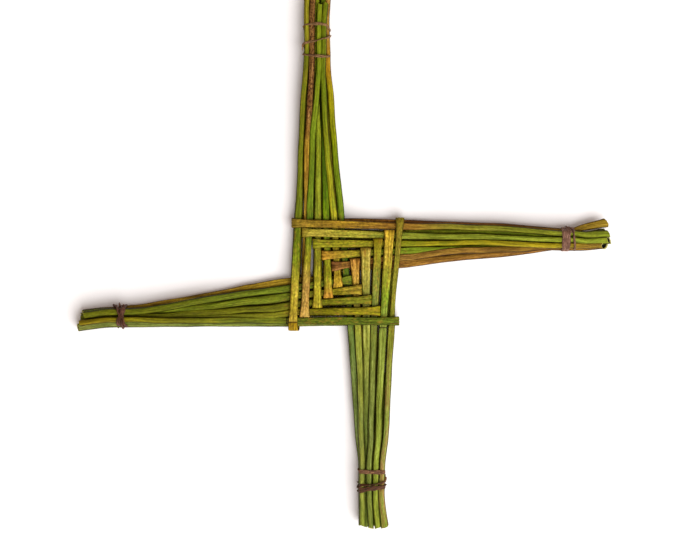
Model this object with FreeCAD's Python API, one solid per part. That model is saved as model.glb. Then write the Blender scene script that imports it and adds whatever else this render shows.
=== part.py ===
import FreeCAD, Part
import math
import os

os.makedirs("parts", exist_ok=True)

# Cross woven from soft rushes, lying face up. Millimetres, +Z up, origin at the middle of the
# weave on the surface that the cross lies on, +Y towards the end of the upper arm.
# One straight rush stands in the middle. Every other rush is folded in half round the arm
# before it, so it has a front half and a back half that leave the weave side by side.

# Rush stems
stem_diameter = 2.95          # a round stem, across its corners
woven_width = 3.2             # a stem pressed between the two halves of the rushes round it
woven_height = 2.2
over_width = 3.7              # a stem where it crosses over the others
over_height = 1.8
fold_width = 4.6              # a stem flattened by its fold
fold_wall = 1.05
heart_height = 1.35           # the four rushes of the first ring are squeezed thinner
bore_wall = 0.45              # rush stems are hollow at their cut ends
bore_depth = 5.0

# Fit
layer_gap = 0.05              # between two stems pressed on each other
side_gap = 0.1                # between stems that pass side by side
weave_slack = 0.65            # spare room in each ring of the weave
corner_cut = 0.586            # corner cut of the eight sided section, as a share of its half size

# Weave: rings are counted from the middle out
ring_count = 5
first_ring = 4.0
centre_lean = 0.085           # the straight rush leans this much for each millimetre of height
fold_reach = 1.0              # how far inside the wrapped edge the fold starts to turn
fold_flare = 2.4              # length over which the fold narrows to the crossing stem
weave_margin = 1.8            # from the last ring to where the arms begin to close up

# Sideways drift of each ring from its even place, where a rush is folded and where it leaves
sway_at_fold = {
    "right": [-0.7, -0.25, 0.45, 0.9, 0.45],
    "down": [0.5, 0.7, 1.7, 2.4, 2.5],
    "left": [-0.8, -1.15, -1.0, -0.4, -0.4],
    "up": [0.05, -0.2, 0.05, 1.1, 2.0],
}
sway_at_exit = {
    "right": [3.5, 1.9, 0.45, -0.6, -1.0],
    "down": [2.0, 1.05, -0.3, -0.8, -1.75],
    "left": [3.6, 2.4, 1.2, 0.15, -0.2],
    "up": [2.0, 0.85, -0.15, -1.4, -0.55],
}
back_shift = {("up", 4): 1.2, ("right", 5): 1.0, ("right", 1): -2.8, ("left", 1): -3.2, ("left", 5): 1.0}

# Turn of a fold from its front to its back: share of its depth, share of its height
fold_turn = [(0.0, 1.0), (0.62, 0.93), (1.0, 0.62), (1.0, -0.62), (0.62, -0.93), (0.0, -1.0)]

# Arms: the tie squeezes the stems into rows, listed from the front to the back, outer side first,
# each with its shift towards the outer side as a share of the stem spacing
bundle_rows = {
    "up": [(0.25, "5f 4b 4f 1f"), (-0.25, "5b 3f 2f 0c"), (-0.25, "3b 2b 1b")],
    "right": [(0.0, "5f 4f 3f"), (0.1, "5b 4b 2f 1f"), (-0.1, "3b 2b 1b")],
    "down": [(0.25, "5f 4f 3f 1f"), (-0.25, "5b 4b 2f 0c"), (-0.25, "3b 2b 1b")],
    "left": [(0.0, "5f 1f"), (0.0, "5b 4f 3f 2f"), (-0.25, "4b 3b 2b 1b")],
}
tie_across = {"up": 14.3, "right": 17.0, "down": 12.75, "left": 20.6}
end_across = {"up": 13.75, "right": 19.0, "down": 13.65, "left": 22.6}
end_splay = {"up": 1.06, "right": 1.2, "down": 1.14, "left": 1.05}
arm_reach = {"up": 138.5, "right": 131.0, "down": 126.8, "left": 133.6}
short_end = {("up", "4f"): 4.0, ("up", "1f"): 3.6, ("left", "1f"): 2.2, ("left", "5f"): 1.1, ("right", "5b"): 1.2}
end_unevenness = 1.3          # how far the cut ends differ from each other
end_slant = 0.45              # slope of the slanted cuts
arm_steps = 4                 # stations between the weave and the tie
row_height = 0.9              # height of a row in the bundle, as a share of the stem spacing
stem_play = 0.1               # spare room between stems in an arm
pressed_share = 0.26          # how much closer the two halves of a rush lie where they leave the weave
settle_moves = 12
settle_sweeps = 20

# Ties of twisted bast: how far back from the arm's reach the strip passes each side of the arm,
# one value for each half turn
strip_height = 0.45
strip_width = {"up": 1.0, "right": 1.85, "down": 1.7, "left": 1.8}
tie_from_end = {
    "up": [29.0, 30.0, 25.0, 20.5, 15.5, 16.5],
    "right": [22.8, 22.5, 20.7, 20.3, 18.6, 16.6],
    "down": [27.5, 28.2, 22.4, 21.9, 20.4, 19.2],
    "left": [23.7, 23.0, 21.7, 20.9, 19.7, 18.6],
}
tie_tail = {"up": 0.8, "right": 1.0, "down": 1.8, "left": 2.0}
tie_clearance = 0.2
half_turn_steps = 6

# Each arm's outward direction, and the direction across it towards its outer rings
outward = {"right": (1, 0), "down": (0, -1), "left": (-1, 0), "up": (0, 1)}
sideways = {"right": (0, 1), "down": (1, 0), "left": (0, -1), "up": (-1, 0)}
wrapped_arm = {"right": "up", "down": "right", "left": "down", "up": "left"}
covering_arm = {"right": "down", "down": "left", "left": "up", "up": "right"}

ring_pitch = woven_width + fold_wall + 2 * side_gap + weave_slack
middle = over_height + layer_gap + woven_height + layer_gap / 2
centre_height = 2 * (woven_height - heart_height - side_gap)
stem_flat = stem_diameter * math.cos(math.pi / 8)
strip_room = strip_height + tie_clearance
stem_spacing = stem_diameter + stem_play
floor_height = strip_room + stem_diameter / 2


def ring_distance(ring):
    """Even distance of a ring from the middle; ring 0 is the straight rush."""
    return first_ring + (ring - 1) * ring_pitch if ring else 0.0


exit_along = ring_distance(ring_count) + woven_width / 2 + weave_margin


def across(arm, ring, side, along):
    """Sideways place of a stem at a distance along its arm."""
    if ring == 0:
        return centre_lean * along
    start = -ring_distance(ring)
    near = ring_distance(ring) + sway_at_fold[arm][ring - 1]
    far = ring_distance(ring) + sway_at_exit[arm][ring - 1]
    if side == "b":
        far += back_shift.get((arm, ring), 0.0)
    share = (along - start) / (exit_along - start)
    return near + (far - near) * share


def crossing(arm, ring, side, other, other_ring):
    """Distance along a stem at which a stem of the wrapped or the covering arm crosses it."""
    sign = -1 if other == wrapped_arm[arm] else 1
    along = sign * ring_distance(other_ring)
    for _ in range(3):
        along = sign * across(other, other_ring, side, -sign * across(arm, ring, side, along))
    return along


def outermost_wrapped(arm, ring):
    """Ring of the stem that a fold goes round; the last rush is tucked into the last left fold."""
    if arm == "left" and ring < ring_count:
        return ring - 1
    return ring


def innermost_wrapped(arm, ring):
    """Ring of the last stem that a rush crosses over before it dives under."""
    if arm == "left" or (arm == "right" and ring > 1):
        return 0
    return 1


def first_covering(arm, ring):
    """Ring of the first stem that crosses over a rush."""
    return min(ring + 1, ring_count) if arm == "down" else ring


def levels(arm, ring):
    """Height and distance from the middle layer of a stem, where it crosses over and under."""
    if ring > 1:
        over = layer_gap * 1.5 + woven_height + over_height / 2
        under = layer_gap / 2 + woven_height / 2
        return (over_height, over), (woven_height, under)
    under = layer_gap / 2 + woven_height - heart_height / 2
    over = under if arm == "left" else layer_gap * 1.5 + woven_height + heart_height / 2
    return (heart_height, over), (heart_height, under)


def crossing_edge(arm, ring, side, other, other_ring, width, sign):
    """Edge of a crossing stem, as far out as its lean brings it within the width of this one."""
    place = crossing(arm, ring, side, other, other_ring)
    if other_ring:
        drift = abs(across(other, other_ring, side, 1.0) - across(other, other_ring, side, 0.0))
    else:
        drift = centre_lean
    return place + sign * (woven_width / 2 + side_gap + drift * width / 2)


def fold_tip(arm, ring):
    """Distance along the arm of the outside of a fold."""
    other, other_ring = wrapped_arm[arm], outermost_wrapped(arm, ring)
    edges = [crossing_edge(arm, ring, side, other, other_ring, fold_width, -1) for side in "fb"]
    return min(edges) - fold_wall


def fold_stations(arm, ring):
    """The turn of a fold, from its front to its back, as a boxy half loop."""
    tip = fold_tip(arm, ring)
    (height, lift), _ = levels(arm, ring)
    start = tip + fold_wall + side_gap + fold_reach
    depth = start - tip - fold_wall / 2
    stations = []
    for bow, rise in fold_turn:
        place = (start - depth * bow, across(arm, ring, "f", start), middle + lift * rise)
        stations.append((place, fold_width, height + (fold_wall - height) * bow))
    return stations


def weave_stations(arm, ring, side):
    """One half of a rush inside the weave, from its fold out to where it leaves."""
    front = 1 if side == "f" else -1
    (over_size, over_lift), (under_size, under_lift) = levels(arm, ring)
    flare_end = fold_tip(arm, ring) + fold_wall + fold_reach + fold_flare
    wrapped, last = wrapped_arm[arm], innermost_wrapped(arm, ring)
    run_end = crossing_edge(arm, ring, side, wrapped, last, over_width, 1)
    cover = crossing(arm, ring, side, covering_arm[arm], first_covering(arm, ring))
    dive_end = cover - fold_width / 2 - side_gap
    if arm == "right" and ring == 1:
        dive_end = crossing(arm, ring, side, "up", 0) - woven_width / 6
    places = []
    if run_end > flare_end + side_gap:
        places.append((flare_end, over_lift, over_width, over_size))
    places.append((run_end, over_lift, over_width, over_size))
    places.append((max(dive_end, run_end + side_gap), under_lift, woven_width, under_size))
    exit_lift = layer_gap / 2 + woven_height / 2
    places.append((exit_along, exit_lift, woven_width, woven_height))
    stations = []
    for along, lift, width, height in places:
        place = (along, across(arm, ring, side, along), middle + front * lift)
        stations.append((place, width, height))
    return stations


def arm_stems(arm):
    """Names of the stems in an arm: ring number, then f for front, b for back, c for centre."""
    return [name for _, row in bundle_rows[arm] for name in row.split()]


def start_places(arm):
    """Sideways and upward places of the stems where they leave the weave."""
    places = {}
    for name in arm_stems(arm):
        lift = {"f": 1, "b": -1, "c": 0}[name[1]] * (layer_gap / 2 + woven_height / 2)
        places[name] = [across(arm, int(name[0]), name[1], exit_along), middle + lift]
    return places


def tied_places(arm):
    """Even rows of stems in the tie, before they settle against each other."""
    rows = bundle_rows[arm]
    places = {}
    for level, (shift, row) in enumerate(rows):
        names = row.split()
        height = floor_height + (len(rows) - 1 - level) * row_height * stem_spacing
        for order, name in enumerate(names):
            side = tie_across[arm] + ((len(names) - 1) / 2 - order + shift) * stem_spacing
            places[name] = [side, height]
    return places


def push_apart(places, before, share, first_part):
    """Move stems apart that come too close at a share of the way from the station before."""
    names = sorted(places)
    needed = stem_spacing * (1 - first_part * pressed_share * (1 - share))
    for index, name in enumerate(names):
        for other in names[index + 1:]:
            gap = [places[other][axis] * share + before[other][axis] * (1 - share)
                   - places[name][axis] * share - before[name][axis] * (1 - share) for axis in range(2)]
            distance = max(math.hypot(gap[0], gap[1]), 0.001)
            if distance >= needed:
                continue
            for axis in range(2):
                push = gap[axis] / distance * (needed - distance) / 2
                places[name][axis] -= push
                places[other][axis] += push
    for name in names:
        places[name][1] = max(places[name][1], floor_height)


def settle(before, targets, first_part):
    """Lead stems to their targets in small moves, so that none passes through another."""
    places = {name: list(place) for name, place in before.items()}
    for move in range(settle_moves):
        for name, place in places.items():
            for axis in range(2):
                place[axis] += (targets[name][axis] - place[axis]) / (settle_moves - move)
        sweeps = settle_sweeps * (6 if move == settle_moves - 1 else 1)
        for _ in range(sweeps):
            for share in (0.4, 0.7, 1.0):
                push_apart(places, before, share, first_part)
    return places


def blended(start, end, share):
    return {name: [start[name][axis] * (1 - share) + end[name][axis] * share for axis in range(2)]
            for name in start}


def tie_passes(arm):
    """Distances along the arm at which the strip passes its sides."""
    return [arm_reach[arm] - back for back in tie_from_end[arm]]


def arm_layout(arm):
    """Places of the stems at each station of an arm: [(distance along, {name: place}), ...]"""
    begin, tied = start_places(arm), tied_places(arm)
    tie_start = min(tie_passes(arm)) - strip_width[arm]
    tie_end = max(tie_passes(arm)) + strip_width[arm]
    places, layout = begin, []
    for step in range(1, arm_steps + 1):
        share = step / arm_steps
        places = settle(places, blended(begin, tied, share), 1 if step == 1 else 0)
        layout.append((exit_along + (tie_start - exit_along) * share, places))
    layout.append((tie_end, places))
    splayed = {name: [end_across[arm] + (place[0] - tie_across[arm]) * end_splay[arm], place[1]]
               for name, place in places.items()}
    layout.append((arm_reach[arm], settle(places, splayed, 0)))
    return layout


layouts = {arm: arm_layout(arm) for arm in outward}


def end_reach(arm, name):
    """Distance along the arm of a stem's cut end."""
    order = arm_stems(arm).index(name)
    uneven = end_unevenness * abs(math.sin(2.4 * order + len(arm)))
    return arm_reach[arm] - short_end.get((arm, name), 0.0) - uneven


def end_cut(arm, name):
    """Slopes of a slanted cut, across the stem and through its thickness."""
    order = arm_stems(arm).index(name)
    rise = 2 * end_slant if (arm, name) in short_end else end_slant * math.cos(1.9 * order)
    return FreeCAD.Vector(end_slant * math.sin(1.3 * order + 1), rise, 0)


def arm_stations(arm, name):
    """One half of a rush from the weave to its cut end."""
    stations = []
    for along, places in layouts[arm]:
        side, height = places[name]
        if along == arm_reach[arm]:
            along = end_reach(arm, name)
        stations.append(((along, side, height), stem_flat, stem_flat))
    return stations


def to_world(arm, place):
    along, side, height = place
    out, wide = outward[arm], sideways[arm]
    return FreeCAD.Vector(along * out[0] + side * wide[0], along * out[1] + side * wide[1], height)


def octagon(half_width, half_height):
    cut = corner_cut * min(half_width, half_height)
    x, y = half_width, half_height
    return [(x, y - cut), (x - cut, y), (cut - x, y), (-x, y - cut),
            (-x, cut - y), (cut - x, -y), (x - cut, -y), (x, cut - y)]


def section(point, wide, thick, width, height, cut=FreeCAD.Vector()):
    """Corners of an eight sided section; a slanted cut leans them along the stem."""
    slanted = wide.cross(thick)
    corners = []
    for x, y in octagon(width / 2, height / 2):
        corners.append(point + wide * x + thick * y + slanted * (cut.x * x + cut.y * y))
    return corners


def skin(sections):
    """A closed solid through sections that have the same number of corners."""
    faces = [flat_face(sections[0]), flat_face(sections[-1])]
    for first, second in zip(sections, sections[1:]):
        for index in range(len(first)):
            after = (index + 1) % len(first)
            corners = [first[index], first[after], second[after], second[index]]
            faces.append(side_face(corners))
    return Part.Solid(Part.Shell(faces))


def flat_face(corners):
    return Part.Face(Part.makePolygon(corners + [corners[0]]))


def side_face(corners):
    """A plane where the four corners lie in one, and otherwise a ruled face."""
    normal = (corners[2] - corners[0]).cross(corners[3] - corners[1]).normalize()
    if abs(normal.dot(corners[1] - corners[0])) < 1e-6:
        return flat_face(corners)
    return Part.makeRuledSurface(Part.makeLine(corners[0], corners[1]), Part.makeLine(corners[3], corners[2]))


def bore(point, inward, wide, thick):
    """The hollow at a cut end, from outside the end to its blind bottom."""
    size = stem_flat - 2 * bore_wall
    mouth = section(point - inward * stem_diameter, wide, thick, size, size)
    bottom = section(point + inward * bore_depth, wide, thick, size, size)
    return skin([mouth, bottom])


def stem_solid(stations, wide, cuts):
    """A stem through its sections, [(point, width, height, thick)], with a hollow in each cut end."""
    sections = []
    count = len(stations)
    for index, (point, width, height, thick) in enumerate(stations):
        cut = {0: cuts[0], count - 1: cuts[1]}.get(index, FreeCAD.Vector())
        sections.append(section(point, wide, thick, width, height, cut))
    solid = skin(sections)
    for end, inner in ((0, 1), (count - 1, count - 2)):
        point, thick = stations[end][0], stations[end][3]
        inward = (stations[inner][0] - point).normalize()
        solid = solid.cut(bore(point, inward, wide, thick))
    return solid


def turn_direction(places, index):
    """Direction through the thickness of a fold, square to its path in height and along the arm."""
    before, after = places[max(index - 1, 0)], places[min(index + 1, len(places) - 1)]
    if index in (0, len(places) - 1):
        return (0.0, 1.0) if index else (0.0, -1.0)
    run, rise = after[0] - before[0], after[2] - before[2]
    length = math.hypot(run, rise)
    return -rise / length, run / length


def folded_rush(arm, ring):
    """A rush folded in half round the arm before it, from its front end to its back end."""
    names = ("%df" % ring, "%db" % ring)
    front = weave_stations(arm, ring, "f") + arm_stations(arm, names[0])
    back = weave_stations(arm, ring, "b") + arm_stations(arm, names[1])
    fold = fold_stations(arm, ring)
    fold_places = [place for place, _, _ in fold]
    directions = [(0.0, -1.0)] * len(front)
    directions += [turn_direction(fold_places, index) for index in range(len(fold))]
    directions += [(0.0, 1.0)] * len(back)
    stations = []
    for (place, width, height), (run, rise) in zip(front[::-1] + fold + back, directions):
        thick = FreeCAD.Vector(run * outward[arm][0], run * outward[arm][1], rise)
        stations.append((to_world(arm, place), width, height, thick))
    wide = FreeCAD.Vector(sideways[arm][0], sideways[arm][1], 0)
    return stem_solid(stations, wide, [end_cut(arm, name) for name in names])


def centre_rush():
    """The straight rush, from the end of the upper arm to the end of the lower arm."""
    heart = ring_distance(1) + fold_width / 2 + side_gap
    upward, stations = FreeCAD.Vector(0, 0, 1), []
    for arm in ("up", "down"):
        half = [((heart, across(arm, 0, "c", heart), middle), woven_width, centre_height),
                ((exit_along, across(arm, 0, "c", exit_along), middle), stem_flat, stem_flat)]
        half += arm_stations(arm, "0c")
        half = [(to_world(arm, place), width, height, upward) for place, width, height in half]
        stations = half[::-1] if arm == "up" else stations + half
    return stem_solid(stations, FreeCAD.Vector(1, 0, 0), [end_cut("up", "0c"), end_cut("down", "0c")])


def tight_point(stems, angle, offset):
    """Point of a string pulled tight round the stems, where it faces the angle."""
    radius = stem_diameter / 2
    facing = (math.cos(angle), math.sin(angle))
    stem = max(stems, key=lambda place: place[0] * facing[0] + place[1] * facing[1])
    return stem[0] + (radius + offset) * facing[0], stem[1] + (radius + offset) * facing[1]


def strip_section(arm, stems, along, angle, tail):
    """Corners of the strip at an angle round the arm; a tail stands off sideways by its length."""
    corners = []
    half_width = strip_width[arm] / 2
    for offset, shift in ((tie_clearance, -1), (tie_clearance, 1), (strip_room, 1), (strip_room, -1)):
        side, height = tight_point(stems, angle, offset)
        side += abs(tail) * math.cos(angle) - tail * math.sin(angle)
        height += abs(tail) * math.sin(angle) + tail * math.cos(angle)
        corners.append(to_world(arm, (along + shift * half_width, side, height)))
    return corners


def tie_solid(arm):
    """A flat strip wound round an arm, with a short tail at each end."""
    stems = list(layouts[arm][arm_steps - 1][1].values())
    passes, tail = tie_passes(arm), tie_tail[arm] / 2
    steps = (len(passes) - 1) * half_turn_steps
    sections = [strip_section(arm, stems, passes[0], 0.0, -tail)]
    for step in range(steps + 1):
        turned = step / half_turn_steps
        index = min(int(turned), len(passes) - 2)
        along = passes[index] + (passes[index + 1] - passes[index]) * (turned - index)
        sections.append(strip_section(arm, stems, along, math.pi * turned, 0.0))
    sections.append(strip_section(arm, stems, passes[-1], math.pi * (len(passes) - 1), tail))
    return skin(sections)


def export(shape, name):
    if not shape.isValid() or len(shape.Solids) != 1:
        raise ValueError("%s is not one valid solid" % name)
    shape.Solids[0].exportStep("parts/%s.step" % name)
    print(name, "volume %.0f mm3" % shape.Volume)


export(centre_rush(), "centre_rush")
for arm in outward:
    for ring in range(1, ring_count + 1):
        export(folded_rush(arm, ring), "%s_rush_%d" % (arm, ring))
    export(tie_solid(arm), "%s_tie" % arm)
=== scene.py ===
import math
import bpy
import numpy as np
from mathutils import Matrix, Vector
from mathutils.kdtree import KDTree


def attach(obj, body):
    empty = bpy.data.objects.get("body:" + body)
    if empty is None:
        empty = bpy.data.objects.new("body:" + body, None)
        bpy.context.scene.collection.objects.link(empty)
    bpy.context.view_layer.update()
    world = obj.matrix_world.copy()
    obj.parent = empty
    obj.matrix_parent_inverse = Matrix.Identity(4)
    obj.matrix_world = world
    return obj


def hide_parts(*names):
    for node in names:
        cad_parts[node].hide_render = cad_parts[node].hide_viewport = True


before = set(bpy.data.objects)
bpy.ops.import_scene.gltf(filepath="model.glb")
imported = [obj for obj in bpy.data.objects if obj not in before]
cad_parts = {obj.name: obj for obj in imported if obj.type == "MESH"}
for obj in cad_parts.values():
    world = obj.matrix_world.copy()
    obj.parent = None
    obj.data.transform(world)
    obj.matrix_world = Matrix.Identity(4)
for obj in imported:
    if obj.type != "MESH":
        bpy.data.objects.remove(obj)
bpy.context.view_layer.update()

# The frame is in metres. Lengths in this file are in millimetres and turned with mm, apart from the studio's.
mm = 0.001

# each arm's outward direction, and the direction across it towards its outer rings
armAxes = {"right": [(1, 0, 0), (0, 1, 0)], "down": [(0, -1, 0), (1, 0, 0)],
           "left": [(-1, 0, 0), (0, -1, 0)], "up": [(0, 1, 0), (-1, 0, 0)]}
armAxes = {arm: np.array(axes, float) for arm, axes in armAxes.items()}


# small helpers

def toLinear(hexText):
    values = [int(hexText[i:i + 2], 16) / 255 for i in (1, 3, 5)]
    return [v / 12.92 if v <= 0.04045 else ((v + 0.055) / 1.055) ** 2.4 for v in values] + [1.0]


def addNode(tree, kind, settings=None, inputs=None, stops=()):
    # Settings are the node's own fields. Inputs are numbers, colours, sockets, or nodes whose first output is meant.
    # Stops are the positions and hex colours of a colour ramp.
    node = tree.nodes.new("ShaderNode" + kind)
    for name, value in (settings or {}).items():
        setattr(node, name, value)
    for name, value in (inputs or {}).items():
        if isinstance(value, bpy.types.Node):
            value = value.outputs[0]
        if isinstance(value, bpy.types.NodeSocket):
            tree.links.new(value, node.inputs[name])
        else:
            node.inputs[name].default_value = value
    if stops:
        marks = node.color_ramp.elements
        while len(marks) < len(stops):
            marks.new(0.5)
        for mark, (position, colour) in zip(marks, stops):
            mark.position, mark.color = position, toLinear(colour)
    return node


def newShading(kind, name):
    # a material or a world, and its empty node tree
    holder = kind.new(name)
    holder.use_nodes = True
    holder.node_tree.nodes.clear()
    return holder, holder.node_tree


def stemFields(tree):
    # where a point lies in its pattern, and which shade it has there
    return [addNode(tree, "Attribute", {"attribute_name": name}).outputs["Vector"]
            for name in ("stemPlace", "stemTone")]


def finishPlantSkin(tree, colour, roughness, grain, relief, specular, ior=1.5):
    # dry plant matter: no metal, no clear coat, and a grain that stands out by up to 0.2 mm
    bump = addNode(tree, "Bump", {}, {"Strength": relief, "Distance": 0.2 * mm, "Height": grain})
    shader = addNode(tree, "BsdfPrincipled", {}, {
        "Base Color": colour, "Roughness": roughness, "Normal": bump, "IOR": ior, "Specular IOR Level": specular})
    addNode(tree, "OutputMaterial", {}, {"Surface": shader})


def addObject(name, data):
    thing = bpy.data.objects.new(name, data)
    bpy.context.scene.collection.objects.link(thing)
    return thing


def smoothThrough(knots, values, at):
    # curve through the knots that never swings past them, for one column of values or several
    values = np.asarray(values, float)
    flat = values.reshape(len(knots), -1)
    steps = np.diff(knots)[:, None]
    slopes = np.diff(flat, axis=0) / steps
    turn = slopes[:-1] * slopes[1:] > 0
    weightA = 2 * steps[1:] + steps[:-1]
    weightB = steps[1:] + 2 * steps[:-1]
    with np.errstate(divide="ignore", invalid="ignore"):
        inner = (weightA + weightB) / (weightA / slopes[:-1] + weightB / slopes[1:])
    inner = np.where(turn, inner, 0.0)
    tangents = np.vstack([slopes[:1], inner, slopes[-1:]])
    index = np.clip(np.searchsorted(knots, at, side="right") - 1, 0, len(knots) - 2)
    h = steps[index]
    t = ((np.asarray(at) - np.asarray(knots)[index]) / h[:, 0])[:, None]
    result = (flat[index] * (2 * t ** 3 - 3 * t ** 2 + 1) + tangents[index] * h * (t ** 3 - 2 * t ** 2 + t)
              + flat[index + 1] * (3 * t ** 2 - 2 * t ** 3) + tangents[index + 1] * h * (t ** 3 - t ** 2))
    return result.reshape((len(at),) + values.shape[1:])


def valueAlong(stops, at):
    # straight lines between stops of distance: value, level before the first and after the last
    return np.interp(at, list(stops), list(stops.values()))


def lengthAlong(points):
    # distance from the first point to each, measured along the line that they make
    return np.concatenate([[0], np.cumsum(np.linalg.norm(np.diff(points, axis=0), axis=1))])


def wander(at, rng, waves):
    # smooth unevenness along a length: sum of waves given as (wavelength, size)
    total = np.zeros(len(at))
    for length, size in waves:
        total += size * np.sin(2 * math.pi * np.asarray(at) / length + rng.uniform(0, 2 * math.pi))
    return total


def blurAlong(at, values, width):
    # values taken at uneven places along a length, blurred over a width
    spacing = 0.25
    even = np.arange(at[0] - 4 * width, at[-1] + 4 * width, spacing)
    kernel = np.exp(-(np.arange(-3 * width, 3 * width + 0.1, spacing) / width) ** 2 / 2)
    return np.interp(at, even, np.convolve(np.interp(even, at, values), kernel / kernel.sum(), "same"))


def easeBetween(low, high, value):
    share = np.clip((value - low) / (high - low), 0, 1)
    return share * share * (3 - 2 * share)


def addMesh(name, points, faces, slots, fields, materials):
    mesh = bpy.data.meshes.new(name)
    mesh.from_pydata(np.asarray(points) * mm, [], faces)
    mesh.polygons.foreach_set("material_index", np.asarray(slots, np.int32))
    for fieldName, values in fields.items():
        field = mesh.attributes.new(fieldName, "FLOAT_VECTOR", "POINT")
        field.data.foreach_set("vector", np.asarray(values, np.float32).ravel())
    for material in materials:
        mesh.materials.append(material)
    mesh.shade_smooth()
    mesh.set_sharp_from_angle(angle=math.radians(50))
    mesh.update()
    return addObject(name, mesh)


def bridge(firstRing, secondRing, around):
    # faces between two rings of points that stand one after the other in the list
    return [[firstRing + i, firstRing + (i + 1) % around, secondRing + (i + 1) % around, secondRing + i]
            for i in range(around)]


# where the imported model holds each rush

def cadSections(node):
    # corners of the eight sided sections of a rush, from its front end to its back end
    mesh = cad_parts[node].data
    corners = np.array([v.co for v in mesh.vertices]) / mm
    nearby = KDTree(len(corners))
    for index, corner in enumerate(corners):
        nearby.insert(corner, index)
    nearby.balance()
    weld = [min(found[1] for found in nearby.find_range(corner, 0.01)) for corner in corners]
    group = list(range(len(corners)))

    def leader(vertex):
        while group[vertex] != vertex:
            vertex = group[vertex]
        return vertex

    for face in mesh.polygons:
        first = leader(face.vertices[0])
        for vertex in face.vertices:
            group[leader(vertex)] = first
    rims = {}
    for face in mesh.polygons:
        around = list(face.vertices)
        rim = rims.setdefault(leader(around[0]), {})
        for a, b in zip(around, around[1:] + around[:1]):
            edge = frozenset((weld[a], weld[b]))
            rim[edge] = rim.get(edge, 0) + 1
    rims = [[edge for edge, count in rim.items() if count == 1] for rim in rims.values()]
    quads = [rim for rim in rims if len(rim) == 4]
    ends = [rim for rim in rims if len(rim) == 16]  # a cut end is a ring of wall round the hollow
    if node != "centre_rush":
        ends.sort(key=lambda rim: -max(corners[list(e)[0]][2] for e in rim))
    else:
        ends.sort(key=lambda rim: -corners[list(rim[0])[0]][1])
    loops = [loopOf(ends[0])]
    loops.append(loopOf([e for e in ends[0] if not e & set(loops[0])]))
    ring = max(loops, key=lambda loop: np.ptp(corners[loop], axis=0).max())
    byEdge = {}
    for quad in quads:
        for edge in quad:
            byEdge.setdefault(edge, []).append(quad)
    rings, used = [ring], set()
    while True:
        following = []
        for i, vertex in enumerate(ring):
            edge = frozenset((vertex, ring[(i + 1) % len(ring)]))
            found = [quad for quad in byEdge.get(edge, []) if id(quad) not in used]
            if not found:
                break
            used.add(id(found[0]))
            side = [e for e in found[0] if vertex in e and e != edge][0]
            following.append(next(v for v in side if v != vertex))
        if len(following) < len(ring):
            return corners[np.array(rings)]
        ring = following
        rings.append(ring)


def loopOf(edges):
    beside = {}
    for edge in edges:
        a, b = tuple(edge)
        beside.setdefault(a, []).append(b)
        beside.setdefault(b, []).append(a)
    start = next(iter(beside))
    loop, before = [start], None
    while True:
        step = [v for v in beside[loop[-1]] if v != before][0]
        if step == start:
            return loop
        before = loop[-1]
        loop.append(step)


def stationsOf(node, arm):
    # centre, half width, half height, thickness direction and slant of the end cuts for each section
    rings = cadSections(node)
    out, wide = armAxes[arm]
    if node == "centre_rush":
        wide = np.array([1.0, 0.0, 0.0])
    first = rings[0] @ wide
    pair = max(range(8), key=lambda i: first[i] + first[(i + 1) % 8])
    order = [(pair + 1 + i) % 8 for i in range(8)]  # from one corner of the side face round to the other
    rings = rings[:, order]
    centre = rings.mean(1)
    across = ((rings[:, 0] + rings[:, 7]) - (rings[:, 3] + rings[:, 4])) / 4
    through = ((rings[:, 1] + rings[:, 2]) - (rings[:, 5] + rings[:, 6])) / 4
    slants = []
    for end in (0, -1):
        slants.append(((across[end] @ out) / np.linalg.norm(across[end] - out * (across[end] @ out)),
                       (through[end] @ out) / np.linalg.norm(through[end] - out * (through[end] @ out))))
        across[end] -= out * (across[end] @ out)
        through[end] -= out * (through[end] @ out)
    halfWidth = np.linalg.norm(across, axis=1)
    halfHeight = np.linalg.norm(through, axis=1)
    return {"centre": centre, "halfWidth": halfWidth, "halfHeight": halfHeight, "wide": wide, "out": out,
            "through": through / halfHeight[:, None], "slants": slants}


# rushes

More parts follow.
